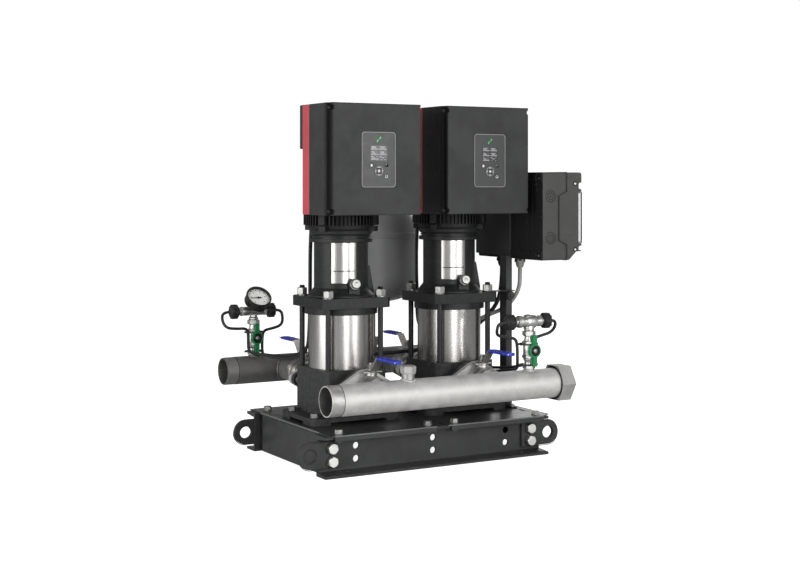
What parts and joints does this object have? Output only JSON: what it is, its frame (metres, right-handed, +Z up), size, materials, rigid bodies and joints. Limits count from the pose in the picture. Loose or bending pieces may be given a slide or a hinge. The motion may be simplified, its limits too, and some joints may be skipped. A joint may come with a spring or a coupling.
{
  "type": "booster pump set",
  "caption": "Water booster set: vertical multistage pumps with box drives between two pipe manifolds on a channel base, with valves, membrane tank, gauge, sensors and a control box.",
  "frame": {"origin": "floor level, midway between the two base rails and midway along them", "axes": "+X along the manifolds from their open ends to their capped ends, +Y from the front manifold to the rear manifold, +Z up the pump shafts"},
  "size_m": [0.827, 0.8133, 0.908],
  "materials": {
    "black_iron": "fine textured black paint",
    "frame_paint": "satin black powder coat",
    "stainless": "brushed",
    "zinc": "zinc plated",
    "galvanised": "hot-dip galvanised, mottled",
    "nickel_brass": "nickel plated brass",
    "anthracite": "satin anthracite paint",
    "red_trim": "satin red",
    "panel_black": "smooth dark face",
    "key_grey": "soft-touch grey",
    "lever_blue": "blue dipped grip on zinc plated strap",
    "handle_green": "green lacquered cast handle",
    "tank_grey": "dark grey stove enamel",
    "sensor_black": "moulded black",
    "dial_white": "white dial",
    "gauge_black": "black lacquer",
    "needle_black": "black",
    "enclosure": "fine textured grey",
    "window": "clear smoked polycarbonate",
    "switchgear_grey": "light grey",
    "cable": "round sheathed cable",
    "motor_steel": "laminated steel",
    "copper_core": "varnished windings",
    "hydraulic_steel": "pressed stainless"
  },
  "bodies": {
    "set": {"base_rails": "frame_paint", "top_plates": "frame_paint", "lifting_lugs": "frame_paint", "fasteners": "zinc", "pump_bases": "black_iron", "outer_sleeves": "stainless", "pump_chambers": "hydraulic_steel", "pump_heads": "black_iron", "vent_plugs": "nickel_brass", "staybolts": "zinc", "motor_stools": "black_iron", "coupling_guards": "stainless", "motor_frames": "black_iron", "motor_stators": "copper_core", "fan_covers": "anthracite", "drive_housings": "anthracite", "drive_covers": "anthracite", "drive_trims": "red_trim", "control_panels": "panel_black", "branch_flanges": "galvanised", "valve_bodies": "nickel_brass", "check_valves": "nickel_brass", "manifold_front": "galvanised", "manifold_rear": "galvanised", "manifold_caps": "galvanised", "pressure_tank": "tank_grey", "service_valves": "nickel_brass", "sensor_plugs": "sensor_black", "gauge_case": "gauge_black", "gauge_dial": "dial_white", "control_post": "frame_paint", "control_box": "enclosure", "box_cover": "enclosure", "switchgear": "switchgear_grey", "power_cables": "cable", "sensor_cables": "cable"},
    "rotor_left": {"pump_shaft_left": "hydraulic_steel", "motor_rotor_left": "motor_steel"},
    "valve_lever_front_left": {"valve_lever_front_left": "lever_blue"},
    "valve_lever_rear_left": {"valve_lever_rear_left": "lever_blue"},
    "check_disc_left": {"check_disc_left": "hydraulic_steel"},
    "key_home_left": {"key_home_left": "key_grey"},
    "key_back_left": {"key_back_left": "key_grey"},
    "key_arrows_left": {"key_arrows_left": "key_grey"},
    "key_ok_left": {"key_ok_left": "key_grey"},
    "key_power_left": {"key_power_left": "key_grey"},
    "rotor_right": {"pump_shaft_right": "hydraulic_steel", "motor_rotor_right": "motor_steel"},
    "valve_lever_front_right": {"valve_lever_front_right": "lever_blue"},
    "valve_lever_rear_right": {"valve_lever_rear_right": "lever_blue"},
    "check_disc_right": {"check_disc_right": "hydraulic_steel"},
    "key_home_right": {"key_home_right": "key_grey"},
    "key_back_right": {"key_back_right": "key_grey"},
    "key_arrows_right": {"key_arrows_right": "key_grey"},
    "key_ok_right": {"key_ok_right": "key_grey"},
    "key_power_right": {"key_power_right": "key_grey"},
    "service_handle_rear": {"service_handle_rear": "handle_green"},
    "service_handle_front": {"service_handle_front": "handle_green"},
    "gauge_needle": {"gauge_needle": "needle_black"},
    "box_window": {"box_window": "window"}
  },
  "joints": [
    {"name": "rotor_spin_left", "type": "hinge", "parent": "set", "child": "rotor_left", "pos_m": [-0.164, 0, 0.4], "axis": [0, 0, 1], "continuous": true},
    {"name": "valve_lever_front_left_turn", "type": "hinge", "parent": "set", "child": "valve_lever_front_left", "pos_m": [-0.164, -0.165, 0.192], "axis": [0, 0, -1], "range_deg": [0, 90]},
    {"name": "valve_lever_rear_left_turn", "type": "hinge", "parent": "set", "child": "valve_lever_rear_left", "pos_m": [-0.164, 0.222, 0.192], "axis": [0, 0, -1], "range_deg": [0, 90]},
    {"name": "check_disc_left_lift", "type": "slide", "parent": "set", "child": "check_disc_left", "axis": [0, 1, 0], "range_m": [0, 0.01], "stiffness_N_per_m": 150},
    {"name": "key_home_left_press", "type": "slide", "parent": "set", "child": "key_home_left", "axis": [0, 1, 0], "range_m": [0, 0.0008], "stiffness_N_per_m": 300},
    {"name": "key_back_left_press", "type": "slide", "parent": "set", "child": "key_back_left", "axis": [0, 1, 0], "range_m": [0, 0.0008], "stiffness_N_per_m": 300},
    {"name": "key_arrows_left_press", "type": "slide", "parent": "set", "child": "key_arrows_left", "axis": [0, 1, 0], "range_m": [0, 0.0008], "stiffness_N_per_m": 300},
    {"name": "key_ok_left_press", "type": "slide", "parent": "set", "child": "key_ok_left", "axis": [0, 1, 0], "range_m": [0, 0.0008], "stiffness_N_per_m": 300},
    {"name": "key_power_left_press", "type": "slide", "parent": "set", "child": "key_power_left", "axis": [0, 1, 0], "range_m": [0, 0.0008], "stiffness_N_per_m": 300},
    {"name": "rotor_spin_right", "type": "hinge", "parent": "set", "child": "rotor_right", "pos_m": [0.164, 0, 0.4], "axis": [0, 0, 1], "continuous": true},
    {"name": "valve_lever_front_right_turn", "type": "hinge", "parent": "set", "child": "valve_lever_front_right", "pos_m": [0.164, -0.165, 0.192], "axis": [0, 0, -1], "range_deg": [0, 90]},
    {"name": "valve_lever_rear_right_turn", "type": "hinge", "parent": "set", "child": "valve_lever_rear_right", "pos_m": [0.164, 0.222, 0.192], "axis": [0, 0, -1], "range_deg": [0, 90]},
    {"name": "check_disc_right_lift", "type": "slide", "parent": "set", "child": "check_disc_right", "axis": [0, 1, 0], "range_m": [0, 0.01], "stiffness_N_per_m": 150},
    {"name": "key_home_right_press", "type": "slide", "parent": "set", "child": "key_home_right", "axis": [0, 1, 0], "range_m": [0, 0.0008], "stiffness_N_per_m": 300},
    {"name": "key_back_right_press", "type": "slide", "parent": "set", "child": "key_back_right", "axis": [0, 1, 0], "range_m": [0, 0.0008], "stiffness_N_per_m": 300},
    {"name": "key_arrows_right_press", "type": "slide", "parent": "set", "child": "key_arrows_right", "axis": [0, 1, 0], "range_m": [0, 0.0008], "stiffness_N_per_m": 300},
    {"name": "key_ok_right_press", "type": "slide", "parent": "set", "child": "key_ok_right", "axis": [0, 1, 0], "range_m": [0, 0.0008], "stiffness_N_per_m": 300},
    {"name": "key_power_right_press", "type": "slide", "parent": "set", "child": "key_power_right", "axis": [0, 1, 0], "range_m": [0, 0.0008], "stiffness_N_per_m": 300},
    {"name": "service_handle_rear_turn", "type": "hinge", "parent": "set", "child": "service_handle_rear", "pos_m": [-0.251, 0.36, 0.281], "axis": [0, -1, 0], "range_deg": [0, 90]},
    {"name": "service_handle_front_turn", "type": "hinge", "parent": "set", "child": "service_handle_front", "pos_m": [0.241, -0.265, 0.281], "axis": [0, -1, 0], "range_deg": [0, 90]},
    {"name": "gauge_needle_turn", "type": "hinge", "parent": "set", "child": "gauge_needle", "pos_m": [-0.247, 0.349, 0.378], "axis": [0, 0.7071, -0.7071], "range_deg": [-45, 225], "stiffness_Nm_per_rad": 0.005},
    {"name": "box_window_hinge", "type": "hinge", "parent": "set", "child": "box_window", "pos_m": [0.443, -0.064, 0.687], "axis": [0, -1, 0], "range_deg": [0, 110]}
  ]
}
